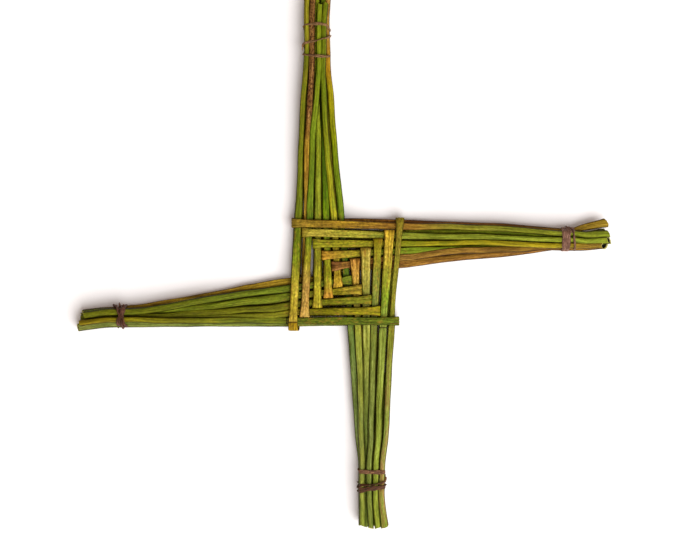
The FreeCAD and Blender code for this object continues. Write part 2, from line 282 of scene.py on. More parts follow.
rushShape = {
    "pointsAround": 52,
    "armStep": 2.4, "weaveStep": 0.5, "endStep": 0.5,  # from section to section in the arms, the weave and the ends
    "weaveEdge": 34.0, "endEdge": 3.0,  # the weave reaches this far from the middle, and an end this far in
    "swell": 1.07,  # a round stem fills the corners of its eight sided section
    "turn": 1.5,  # the front half passes into the back half this far to each side of the fold
    "endPull": 12.0, "foldPull": 7.0,  # where an end or a fold stands further out, it draws this much of the stem along
    "pressed": (0.02, 0.3),  # flatness at which a stem starts to look pressed, and looks it fully
    "outline": (2.15, 5.0, 1.5),  # power of a round section's outline, what a flat one adds, and how late that comes
    "ridges": 10, "ridgeDepth": 0.06, "foldRidgeDepth": 0.17, "ridgeEven": 0.55, "ridgeSharp": 2.2, "ridgeTwist": 0.6,
    "creaseLength": 0.45, "creaseHeight": 0.2, "creaseWidth": 0.04,
    "splitTurns": (-0.35, 0.45), "splitWidth": 0.10, "splitDepth": 0.16, "splitLength": 9.0,
    "widthBlur": 2.4, "driftFrom": (32, 50),
    "widthWaves": [(47, 0.018), (19, 0.014), (8, 0.008)], "heightWaves": [(39, 0.018), (15, 0.012)],
    "driftWaves": [(61, 0.10), (23, 0.05)], "ridgeWaves": [(120, 0.5), (45, 0.2)],
    "lobes": (0.035, 0.02),  # a dried stem shrinks to a section with three and five soft lobes
    "cutReach": 4.0, "ragged": (0.06, 0.05),  # a cut leans over its last 4 mm, and its edge is ragged
    "wall": 0.42, "wallWaves": (0.25, 0.15), "lip": (0.10, -0.03, 0.0),  # the lip has the same three numbers as a ring
    # rings from the lip into the hollow: share of the wall's thickness, depth, and painted shade from lip to bottom
    "hollowRings": [(0.8, 0.02, 0.02), (1.0, 0.25, 0.07), (1.05, 1.0, 0.25), (1.15, 2.6, 0.6), (1.5, 5.0, 1.0)],
    "patternRadius": 1.5,
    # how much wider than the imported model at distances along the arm: pressed stems spread where they leave the weave
    "frontWidth": {20: 1.06, 32: 1.15, 60: 1.12, 100: 1.0},
    "backWidth": {-28: 1.0, -22: 1.3, 20: 1.4, 32: 1.3, 60: 1.05, 100: 1.0},
}

# A folded rush has a front half and a back half, the straight one a front alone. Before each colon stands a distance
# along the rush's arm.
# front, back: main colour and second colour
# frontWidth, backWidth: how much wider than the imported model, in place of those above
# frontShift, backShift, frontLift, backLift: how far it is shifted sideways and up
# backLine: place sideways of a free end that runs straight
# frontEnd, backEnd, tipReach: how much further out a cut end or the fold stands
# frontCut: added slant of the front half's cut; crease: distance at which the front half is kinked
# split, foldRidge: how deep the splits and ridges at the fold are; speckle, backSpeckle: how many brown specks it has
rushLooks = {
    "up_rush_5": {
        "front": {-27: "#ac8e11 #8e7911", -24.8: "#b89416 #948010", -24.2: "#dfc44a #c6ad33", -5: "#bdad34 #a49c25",
            6: "#86961a #748416", 20: "#748412 #5f700d", 110: "#737e12 #8a8218", 138: "#a39c22 #857c18"},
        "back": {-27: "#a89016 #8a7a10", 30: "#7d8a17 #6a7813", 138: "#8a8a1c #6f7413"},
        "frontWidth": {-28: 1.16, -2: 1.1, 10: 1.08, 20: 1.16, 32: 1.15, 60: 1, 100: 0.95, 140: 1},
        "frontShift": {40: 0, 61: 0.5, 90: 0.5, 113: 0}, "backShift": {-26: -0.8, -20: 0},
        "crease": -24.6, "tipReach": 1},
    "up_rush_4": {
        "front": {-22: "#c9a851 #af8537", -6: "#cca852 #b08c41", 6: "#aca628 #98921d", 20: "#6f8e1a #5e7c14",
            138: "#919b19 #7e9316"},
        "back": {-22: "#b08a2c #947024", 30: "#dab03c #b48c2d", 62: "#c19e2c #976e1d", 80: "#a47b3f #825727",
            138: "#9c733a #7a5529"},
        "backWidth": {20: 1.3, 32: 1.2, 60: 1.2, 100: 1.05}, "frontShift": {30: 0.2, 36: 0.5, 56: 0.55, 90: 0},
        "backShift": {32: 0.3, 56: 0.9, 90: 0.6, 110: 0.3}, "backLift": {32: 0.6, 56: 1.8, 90: 1, 110: 0},
        "backSpeckle": 0.9, "frontCut": -0.8},
    "up_rush_3": {
        "front": {-16: "#bcb02d #a09020", 0: "#aca625 #908c20", 30: "#979e24 #7d8a22", 138: "#abba21 #90a31a"},
        "back": {-16: "#a8a01e #8a8a19", 138: "#7c8a1a #6a7816"}},
    "up_rush_2": {
        "front": {-11: "#d09e3a #b88027", -4: "#bdb82d #9aa01e", 8: "#7a960d #b3b02a", 30: "#63890a #759406",
            50: "#4a6706 #425a04", 90: "#4e6b06 #455e06", 138: "#657b0d #556d09"},
        "back": {-11: "#b8a02a #a08a1e", 138: "#76861a #647816"}},
    "up_rush_1": {
        "front": {-6: "#ddb738 #bf9c2a", 8: "#b3a025 #969021", 30: "#b7af1f #949e20", 90: "#718310 #63780a",
            138: "#77800f #65720a"},
        "back": {-6: "#a88a2b #8c7221", 138: "#9fa618 #869013"},
        "frontShift": {30: 0, 36: 0.4, 56: 1.5, 70: 2, 90: 1.7, 112: 0.8, 132: 0.4}, "frontCut": -0.8},
    "centre_rush": {
        "front": {-127: "#8fa155 #768c42", -40: "#7e9347 #698037", 0: "#5f811e #4e6e17", 45: "#7d961b #6b8613",
            60: "#859509 #718707", 72: "#9ca108 #889008", 92: "#b3a60f #9c9210", 101: "#bb9011 #ab7e16",
            138: "#bb9447 #9c7436"},
        "frontWidth": {-100: 1, -80: 1.15, -45: 1.2, -30: 1.2, -20: 1.06, 20: 1.06, 32: 1.15, 60: 1.12, 100: 1},
        "frontShift": {-127: 0, -100: 0.3, -75: -0.15, -45: 0.1, -30: 0, 36: 0, 50: -0.5, 62: -0.6, 75: -0.45,
            90: -0.1, 110: -0.3, 125: -0.9}},
    "right_rush_5": {
        "front": {-27: "#988026 #7d6a1d", -5: "#bb9a23 #98781e", 14: "#ae8825 #8c651d", 34: "#b0892d #8c6521",
            52: "#98922a #847f25", 75: "#868a23 #747920", 131: "#8a9820 #76841a"},
        "back": {-27: "#8e6a22 #6f4f1a", 40: "#8f5e25 #74471b", 90: "#8d6021 #724919", 112: "#aa8723 #8c721d",
            131: "#ab902e #8d781c"},
        "frontWidth": {20: 1.06, 32: 1.15, 60: 1.12, 100: 1, 114: 1, 121: 1.2, 131: 1.25},
        "backWidth": {-28: 1, -22: 1.3, 20: 1.4, 32: 1.3, 60: 1.05, 114: 1, 122: 1.3, 131: 1.6},
        "frontShift": {32: 0, 50: 0.8, 75: 0.8, 105: 0.2, 114: 0, 121: -1.7, 131: -3.6},
        "backShift": {32: 0.3, 60: 0.5, 90: 0.4, 114: 0}, "backLine": {113: 21.6, 131: 25.3},
        "speckle": 0.35, "tipReach": 0.45, "frontEnd": 0.8, "backEnd": 0.2},
    "right_rush_4": {
        "front": {-22: "#b6a63e #998928", 0: "#c4b83c #a4a633", 14: "#a8a633 #8e962a", 25: "#8d972b #758322",
            131: "#9fac2f #869928"},
        "back": {-22: "#9c9824 #80881c", 40: "#828a16 #6a7711", 131: "#91a716 #768f14"},
        "frontWidth": {20: 1.06, 32: 1.15, 60: 1.12, 100: 1, 114: 1, 121: 1.2, 131: 1.25},
        "backWidth": {-22: 1.3, 20: 1.4, 34: 1.4, 60: 1.3, 100: 1}, "frontShift": {114: 0, 121: -1.4, 131: -2.8},
        "backShift": {26: 0, 36: 2, 60: 1.6, 95: 0, 114: 0, 131: -0.8},
        "frontEnd": 1.3, "backEnd": -1, "frontCut": -0.6},
    "right_rush_3": {
        "front": {-16: "#9a981d #7e8117", 0: "#a39e1d #8d8b18", 30: "#9f9916 #828814", 90: "#b4a219 #8d8616",
            108: "#b09e19 #908515", 118: "#9e8123 #82661e", 131: "#927b25 #755c1e"},
        "back": {-16: "#a09a1c #848416", 131: "#8c8c1d #747a17"}, "frontWidth": {-28: 1.06, 120: 1, 131: 1.25},
        "frontShift": {114: 0, 124: -0.6, 131: -1.8}, "backShift": {114: 0, 131: -1.5},
        "frontEnd": -1.6, "backEnd": -1.2, "frontCut": -0.9},
    "right_rush_2": {
        "front": {-11: "#cb9f32 #b08027", 2: "#af9423 #928e1f", 20: "#82981c #6e8817", 131: "#9ca829 #819620"},
        "back": {-11: "#a89030 #8c7a1e", 131: "#7c8a1e #687819"}},
    "right_rush_1": {
        "front": {-6: "#9a6e35 #7c5027", 8: "#946822 #7a541d", 30: "#ae8737 #8a662a", 80: "#967624 #76561d",
            131: "#946f21 #765319"},
        "back": {-6: "#946832 #7a5227", 30: "#a97d2d #845b22", 131: "#986c2a #745020"},
        "frontWidth": {20: 1.06, 32: 1.15, 42: 1.2, 75: 1.15, 100: 1},
        "backWidth": {-28: 1, -22: 1.3, 20: 1.4, 32: 1.35, 60: 1.25, 80: 1.15, 100: 1},
        "frontShift": {34: 0.2, 42: 1, 49: 1.6, 60: 2.2, 75: 1.8, 90: 0.8, 110: 0},
        "backShift": {60: 0, 75: -0.6, 95: -1, 106: -0.4, 114: 0.2},
        "frontLift": {34: 0, 42: 0.8, 49: 1.4, 60: 1.6, 75: 0.4, 90: 0}, "frontEnd": -1.4, "backEnd": -2},
    "down_rush_5": {
        "front": {-28: "#897d1b #756611", -14: "#988d2e #837e1f", 20: "#8c9226 #7a801e", 80: "#8b9f40 #a5894e",
            127: "#8ba136 #a08642"},
        "back": {-28: "#8c8624 #74701c", 127: "#6f8e27 #5d781f"},
        "frontWidth": {-28: 1, -22: 0.95, -14: 0.74, 16: 0.74, 24: 0.98, 32: 1.12, 60: 1.1, 100: 1, 127: 1.3},
        "backWidth": {-28: 1, -14: 0.8, 20: 0.8, 32: 1},
        "frontShift": {-12: 0, 0: -0.1, 10: -0.3, 18: -0.2, 26: 0.1, 40: 0, 60: 0.3, 75: 0.5, 85: 0.5, 100: -0.2,
            127: -0.5},
        "backShift": {-12: 0, 0: -0.7, 10: -1.2, 20: -1.3, 28: -0.5, 40: 0}, "tipReach": 0.6, "frontEnd": 0.5},
    "down_rush_4": {
        "front": {-23: "#f1cd3a #d2ab2f", -10: "#c4aa32 #a8942d", 1: "#b0aa30 #98a02d", 12: "#86a01e #7a941c",
            25: "#9aac47 #859839", 127: "#9ba835 #85972d"},
        "back": {-23: "#a89035 #8c7a21", 127: "#7c8a21 #68781c"},
        "frontWidth": {-24: 1.22, -5: 1.24, 20: 1.16, 32: 1.36, 60: 1.22, 100: 1.06},
        "frontShift": {40: 0, 60: -0.1, 85: 0, 100: -0.4}, "crease": 27.2, "frontEnd": 0.5},
    "down_rush_3": {
        "front": {-17: "#b1a40e #92850c", 0: "#999932 #80862a", 24: "#93a241 #798c3c", 30: "#849136 #707f2e",
            80: "#869646 #73823b", 127: "#839036 #6e7f2e"},
        "back": {-17: "#8c801e #746a17", 127: "#748026 #606e1e"},
        "frontShift": {40: 0, 60: -0.2, 75: -0.3, 85: -0.1, 100: -0.4}, "frontEnd": 1.1},
    "down_rush_2": {
        "front": {-11: "#b8a640 #9a882d", 0: "#c1b54b #a19d3d", 20: "#8c943d #748031", 27: "#b8be51 #9ca744",
            60: "#768131 #64722b", 127: "#a6bd4e #8caa43"},
        "back": {-11: "#948a2a #7a7421", 127: "#748027 #5f6e1e"},
        "frontWidth": {-12: 1.28, 0: 1.26, 16: 1.25, 32: 1.3, 60: 1.2, 100: 1.05}, "split": 1.5},
    "down_rush_1": {
        "front": {-6: "#d49f41 #b07c2e", 8: "#bfa03c #9c8824", 30: "#aab440 #919d3c", 52: "#9ea83d #88923a",
            74: "#8d973c #788539", 96: "#8f9638 #798436", 127: "#9ca83e #859534"},
        "back": {-6: "#a88434 #886a2b", 127: "#788026 #646e1e"},
        "frontShift": {40: 0, 60: -0.1, 80: -0.4, 100: -0.9, 127: -1.1}, "split": 2},
    "left_rush_5": {
        "front": {-27: "#657618 #546311", 0: "#627116 #516211", 60: "#797b18 #687317", 105: "#8a850f #77700c",
            134: "#96840e #7c6c0b"},
        "back": {-27: "#7a8421 #66701a", 60: "#85923b #6f7f31", 134: "#878f44 #6f7a33"},
        "frontWidth": {20: 1.06, 30: 1.1, 38: 1.28, 55: 1.25, 80: 1.1, 100: 1},
        "backWidth": {-28: 1, 60: 1.1, 134: 1.25}, "frontShift": {-14: 0, 8: -0.3, 36: -0.35, 60: 0},
        "backShift": {80: 0, 104: -0.35, 116: -0.3, 134: 0},
        "crease": 29.6, "tipReach": 0.8, "frontEnd": 0.2, "backEnd": 1.2},
    "left_rush_4": {
        "front": {-22: "#ada519 #938a13", 10: "#837e0c #6f6a0a", 26: "#958d14 #7e7611", 34: "#8c8c1c #787a16",
            48: "#82841a #6e7214", 62: "#67690e #585c0b", 134: "#7a8010 #68700d"},
        "back": {-22: "#949019 #7c7a14", 134: "#78821a #667016"},
        "frontShift": {24: 0, 30: 0.8, 36: 1.5, 60: 1.2, 85: 0.3, 110: 0},
        "backShift": {26: 0, 34: 1.3, 55: 0.8, 80: 0}},
    "left_rush_3": {
        "front": {-16: "#919924 #7a811c", 10: "#808012 #6e7010", 26: "#808012 #6e7010", 36: "#727410 #62660e",
            134: "#7a7c14 #686c10"},
        "back": {-16: "#84821a #706e14", 134: "#747c1a #626a16"}, "frontWidth": {20: 1.06, 32: 1.3, 60: 1.25, 90: 1},
        "frontShift": {22: 0, 30: 1.2, 37: 2, 60: 1.8, 76: 1.1, 90: 2.2, 105: 1.2, 115: 0}},
    "left_rush_2": {
        "front": {-11: "#b19932 #988023", 6: "#9f951d #868219", 30: "#78831b #677615", 134: "#758012 #63710e"},
        "back": {-11: "#9c8c21 #80741a", 134: "#76801a #646c16"},
        "frontWidth": {-12: 1.22, -4: 1.1, 20: 1.06, 32: 1.5, 60: 1.4, 100: 1},
        "frontShift": {24: 0, 34: 0.6, 40: 0.9, 60: 1, 75: 1.3, 88: 2, 103: 1, 112: 0.4, 125: 0}, "frontEnd": -1.9},
    "left_rush_1": {
        "front": {-6: "#96a22d #7c8c21", 20: "#6b7c18 #5a6d13", 134: "#72740d #5e640c"},
        "back": {-6: "#8c8421 #746c19", 40: "#bea128 #9a7b1f", 134: "#a68925 #85671f"},
        "frontWidth": {20: 1.06, 32: 1.2, 60: 1.25}, "frontShift": {45: 0, 60: 0.1, 90: -0.5, 112: -2, 134: -1.7},
        "backShift": {80: 0, 108: -0.45, 116: 0.7, 134: 0.9}, "foldRidge": 1.5, "frontEnd": -1.8, "backEnd": -1.2},
}
rampReach = {"folded": (-30.0, 140.0), "straight": (-130.0, 142.0)}  # distances at the ends of the colour ramps

# patterns in the skin of a rush: millimetres across and along the stem, then detail and roughness of the noise
skinGrain = {
    "patches": (1.3, 9.0, 2.0, 0.6),  # faded patches, a few stem widths long
    "ribs": (0.42, 18.0, 3.0, 0.6),  # the ribs' own colour, 0.4 mm apart
    "fibres": (0.22, 2.4, 3.0, 0.7),  # strands in the skin; real ones are 0.05 mm, drawn coarser to show
    "specks": (0.42, 0.8, 2.0, 0.55),  # brown specks near half a millimetre
    "backSpecks": (0.7, 1.3, 3.0, 0.65),
    "scuffs": (0.7, 5.0, 3.0, 0.6),  # bruised brown marks along a rib
    "blush": (1.1, 4.0, 2.0, 0.6),  # orange tan where the green has gone
    "stains": (0.8, 2.4, 3.0, 0.6),  # dark green and brown stains a stem's width long
    # how strong the painted shade on a stem's edges is, uneven along the stem
    "dirt": (0.9, 6.0, 2.0, 0.6),
    "flecks": (0.55, 1.3, 2.0, 0.5),  # light and dark flecks about a millimetre long
}
# masks: the pattern each reads, the pattern's values where it starts and ends, and the mask's values there
skinMasks = {
    "patches": ("patches", 0.38, 0.62, 0.0, 1.0),
    "ribHollows": ("ribs", 0.32, 0.52, 0.85, 0.0),
    "ribBacks": ("ribs", 0.52, 0.72, 0.0, 0.9),
    "satin": ("ribs", 0.3, 0.7, 0.40, 0.62),  # roughness of the surface
    "fibreGaps": ("fibres", 0.38, 0.60, 0.85, 0.0),
    "scuffs": ("scuffs", 0.58, 0.70, 0.0, 0.55),
    "blush": ("blush", 0.56, 0.70, 0.0, 0.4),
    "stains": ("stains", 0.56, 0.68, 0.0, 0.55),
    "flecks": ("flecks", 0.36, 0.64, 0.72, 1.28),
    "fleckShare": ("worn", 0.12, 1.0, 0.25, 1.0),
    # sides: the edges of each stem, where painted shade stands for the shade between neighbouring stems
    "sides": ("side", 0.66, 0.86, 0.0, 1.0),
    "dirt": ("dirt", 0.3, 0.6, 0.75, 1.0),
}
# Layers over the rush's own colours, from the bottom up: masks that are multiplied into one, the blend, and what it
# lays on: a colour, the shares of red, green and blue that stay, or a mask.
skinLayers = [
    (("ribHollows",), "MULTIPLY", (0.36, 0.33, 0.22, 1)),
    (("ribBacks",), "MULTIPLY", (1.55, 1.5, 2.3, 1)),
    (("fibreGaps",), "MULTIPLY", (0.50, 0.46, 0.34, 1)),
    (("specks",), "MIX", "#5a3416"),
    (("backSpecks", "browned", "onBack"), "MIX", "#3a1e0c"),  # one half of a rush can be far browner than the other
    (("scuffs", "worn"), "MIX", "#8a5c24"),
    (("blush", "worn"), "MIX", "#ac842c"),
    (("stains", "worn"), "MULTIPLY", (0.45, 0.50, 0.30, 1)),
    (("fleckShare",), "MULTIPLY", "flecks"),
    (("sides", "dirt"), "MULTIPLY", (0.13, 0.09, 0.05, 1)),  # painted shade: both edges of each stem go dark brown where it meets its neighbours, stronger in some places than others
    (("crease", "onFront"), "MULTIPLY", (0.20, 0.14, 0.08, 1)),  # a kink across the stem, with a narrow dark brown band across it
]


def onRamp(distance, reach):
    return (distance - reach[0]) / (reach[1] - reach[0])


def driedRushSkin(name, looks, reach, seed):
    # Soft rush, a waxy green stem dried slowly: lengthwise ribs, green that fades through olive to straw,
    # brown specks, and a satin shine that runs in thin lines along the ribs.
    material, tree = newShading(bpy.data.materials, name)
    place, tone = stemFields(tree)
    along, onBack, side = addNode(tree, "SeparateXYZ", {}, {"Vector": tone}).outputs
    source = {"side": addNode(tree, "Math", {"operation": "ABSOLUTE"}, {0: side})}
    masks = dict(skinMasks)
    amount = looks.get("speckle", 0.3)  # where there are more specks, they are also larger and darker
    masks["specks"] = ("specks", 0.66 - 0.12 * amount, 0.74 - 0.10 * amount, 0.0, 0.35 + 0.5 * amount)
    if "backSpeckle" in looks:
        source["along"] = along
        masks["backSpecks"] = ("backSpecks", 0.47, 0.57, 0.0, looks["backSpeckle"])
        masks["browned"] = ("along", onRamp(58, reach), onRamp(84, reach), 0.0, 1.0)
    if "crease" in looks:
        away = addNode(tree, "Math", {"operation": "SUBTRACT"}, {0: along, 1: onRamp(looks["crease"], reach)})
        source["kink"] = addNode(tree, "Math", {"operation": "ABSOLUTE"}, {0: away})
        span = reach[1] - reach[0]
        masks["crease"] = ("kink", 0.15 / span, 0.55 / span, 0.9, 0.0)
    # handling marks the weave most, which the straight rush leaves at both its ends
    worn = 1.0
    for near, far in ((24, 34),) if "back" in looks else ((24, 34), (-24, -34)):
        fading = addNode(tree, "MapRange", {"clamp": True}, {
            "Value": along, "From Min": onRamp(near, reach), "From Max": onRamp(far, reach),
            "To Min": 1.0, "To Max": 0.12})
        worn = addNode(tree, "Math", {"operation": "MULTIPLY"}, {0: worn, 1: fading})
    source["worn"] = worn
    shares = {"worn": worn, "onBack": onBack}
    shares["onFront"] = addNode(tree, "Math", {"operation": "SUBTRACT"}, {0: 1.0, 1: onBack})
    for mask, (reads, low, high, atLow, atHigh) in masks.items():
        if reads not in source:
            acrossSize, alongSize, detail, rough = skinGrain[reads]
            scaled = addNode(tree, "Mapping", {}, {
                "Vector": place, "Location": (seed * 7.3, seed * 31.7, seed * 3.1),
                "Scale": (1 / acrossSize, 1 / alongSize, 1 / acrossSize)})
            source[reads] = addNode(tree, "TexNoise", {}, {
                "Vector": scaled, "Scale": 1.0, "Detail": detail, "Roughness": rough})
        shares[mask] = addNode(tree, "MapRange", {"clamp": True}, {
            "Value": source[reads], "From Min": low, "From Max": high, "To Min": atLow, "To Max": atHigh})
    halves = []
    for half in ("front", "back") if "back" in looks else ("front",):
        main, second = [addNode(tree, "ValToRGB", {}, {"Fac": along}, [
            (onRamp(distance, reach), colours.split()[column]) for distance, colours in looks[half].items()])
            for column in (0, 1)]
        halves.append(addNode(tree, "Mix", {"data_type": "RGBA"}, {
            0: shares["patches"], 6: main, 7: second}).outputs[2])
    skin = halves[0]
    if len(halves) == 2:
        skin = addNode(tree, "Mix", {"data_type": "RGBA"}, {0: onBack, 6: halves[0], 7: halves[1]}).outputs[2]
    for names, blend, cover in skinLayers:
        if not shares.keys() >= set(names):
            continue
        share = shares[names[0]]
        for other in names[1:]:
            share = addNode(tree, "Math", {"operation": "MULTIPLY"}, {0: share, 1: shares[other]})
        if isinstance(cover, str):
            cover = toLinear(cover) if cover[0] == "#" else shares[cover]
        skin = addNode(tree, "Mix", {"data_type": "RGBA", "blend_type": blend}, {
            0: share, 6: skin, 7: cover}).outputs[2]
    height = addNode(tree, "Math", {"operation": "ADD"}, {0: source["ribs"], 1: source["fibres"]})
    finishPlantSkin(tree, skin, shares["satin"], height, 0.8, 0.08, 1.45)
    return material


def driedRushHollow():
    # The torn pith inside a cut stem: pale and fibrous at the lip, then painted shade that goes to brown black deeper
    # in the hollow.
    material, tree = newShading(bpy.data.materials, "rushPithInHollow")
    place, tone = stemFields(tree)
    depth = addNode(tree, "SeparateXYZ", {}, {"Vector": tone}).outputs["Z"]
    scaled = addNode(tree, "VectorMath", {"operation": "SCALE"}, {0: place, "Scale": 3.0})
    grain = addNode(tree, "TexNoise", {}, {"Vector": scaled, "Scale": 1.0, "Detail": 3.0})
    # painted shade: the deeper a point lies in the hollow, the darker it is
    shade = addNode(tree, "ValToRGB", {}, {"Fac": depth},
                    [(0.02, "#b7b06a"), (0.14, "#16160a"), (0.45, "#050704")])
    finishPlantSkin(tree, shade, 0.85, grain, 0.6, 0.05)
    return material


# how the stems of an arm are drawn in towards one side: share of the width kept at distances along it
armDraw = {"left": {"towards": 26.6, "kept": {50: 1.0, 80: 0.88, 112: 0.76, 134: 0.77}},
           "right": {"towards": 12.0, "kept": {80: 1.0, 108: 0.90, 114: 0.92, 126: 1.0}}}


def spineOf(node, arm):
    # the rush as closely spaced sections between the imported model's own
    looks, shape, found = rushLooks[node], rushShape, stationsOf(node, arm)
    centre, out, wide = found["centre"], found["out"], found["wide"]
    knots = lengthAlong(centre)
    at, here = [0.0], 0.0
    while here < knots[-1]:
        place = np.interp(here, knots, centre @ out)
        step = shape["weaveStep"] if abs(place) < shape["weaveEdge"] else shape["armStep"]
        step = shape["endStep"] if min(here, knots[-1] - here) < shape["endEdge"] else step
        here += step
        at.append(min(here, knots[-1]))
    at = np.array(at)
    if at[-1] - at[-2] < 0.1:
        at = np.delete(at, -2)
    through = smoothThrough(knots, found["through"], at)
    through /= np.linalg.norm(through, axis=1)[:, None]
    dense = smoothThrough(knots, centre, at)
    fold = 0 if node == "centre_rush" else int(np.argmin(dense @ out))
    path = at - at[fold]
    isBack = easeBetween(-shape["turn"], shape["turn"], path) if fold else 0 * path
    for half, share in (("front", 1 - isBack), ("back", isBack)):
        moved = valueAlong(looks.get(half + "Shift", {0: 0}), dense @ out)[:, None] * wide
        moved[:, 2] += valueAlong(looks.get(half + "Lift", {0: 0}), dense @ out)
        nearEnd = 1 - easeBetween(0, shape["endPull"], at if half == "front" else at[-1] - at)
        moved += (looks.get(half + "End", 0.0) * nearEnd)[:, None] * out
        dense += moved * share[:, None]
    if fold:
        dense -= (looks.get("tipReach", 0.0) * (1 - easeBetween(0, shape["foldPull"], np.abs(path))))[:, None] * out
    if arm in armDraw:
        kept = valueAlong(armDraw[arm]["kept"], dense @ out)
        dense += ((armDraw[arm]["towards"] - dense @ wide) * (1 - kept))[:, None] * wide
    if "backLine" in looks:
        start = min(looks["backLine"])
        onLine = easeBetween(start, start + 4, dense @ out) * isBack
        dense += ((valueAlong(looks["backLine"], dense @ out) - dense @ wide) * onLine)[:, None] * wide
    return {"at": at, "centre": dense, "along": dense @ out, "path": path, "isBack": isBack, "through": through,
            "wide": wide, "out": out, "halfWidth": smoothThrough(knots, found["halfWidth"], at),
            "halfHeight": smoothThrough(knots, found["halfHeight"], at), "slants": found["slants"]}


